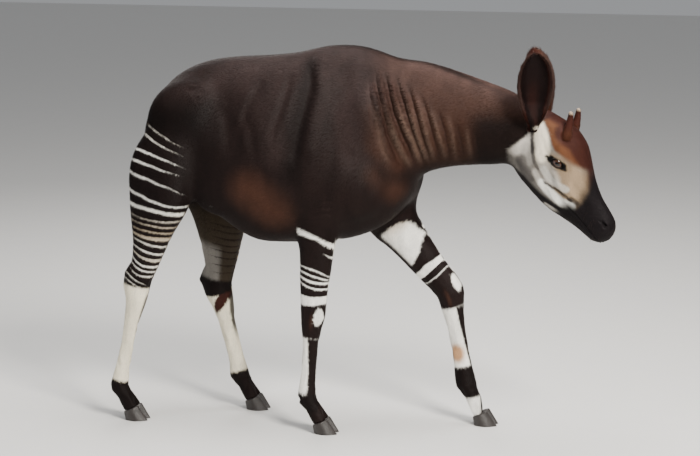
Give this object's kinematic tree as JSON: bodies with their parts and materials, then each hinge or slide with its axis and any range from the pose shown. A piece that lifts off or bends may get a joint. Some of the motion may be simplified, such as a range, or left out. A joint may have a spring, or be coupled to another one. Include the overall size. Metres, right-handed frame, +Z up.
{
  "type": "okapi",
  "caption": "Life-size museum-type model of an okapi, walking slowly with a level neck and a lowered head.",
  "frame": {"origin": "middle of the animal's footprint on the floor, under the middle of its box", "axes": "+X towards the head, +Y to the animal's left, +Z up"},
  "size_m": [1.9872, 0.456, 1.5043],
  "materials": {
    "body_coat": "short velvety coat, dark chocolate with a soft sheen",
    "face_coat": "very short coat, pale grey cheeks, chestnut forehead, dark muzzle",
    "leg_coat": "short coat, white and near black in cross stripes",
    "ear_skin": "dark skin with a soft fringe",
    "eye": "wet, nearly black",
    "horn_skin": "short dark red-brown hair",
    "bare_horn": "polished bare tip",
    "hoof": "dark horn with growth rings",
    "tuft_hair": "long dark hair"
  },
  "bodies": {
    "root": {"hoof_hind_right_outer": "hoof", "hoof_hind_right_inner": "hoof", "hoof_fore_right_outer": "hoof", "hoof_fore_right_inner": "hoof", "hoof_hind_left_outer": "hoof", "hoof_hind_left_inner": "hoof", "hoof_fore_left_outer": "hoof", "hoof_fore_left_inner": "hoof", "eye_right": "eye", "eye_left": "eye", "ear_right": "ear_skin", "ear_left": "ear_skin", "ossicone_right": "horn_skin", "ossicone_tip_right": "bare_horn", "ossicone_left": "horn_skin", "ossicone_tip_left": "bare_horn", "tail": "body_coat", "tail_tuft": "tuft_hair", "head": "face_coat", "neck": "body_coat", "hindleg_right": "leg_coat", "hindleg_left": "leg_coat", "foreleg_right": "leg_coat", "foreleg_left": "leg_coat", "torso": "body_coat"}
  },
  "joints": []
}
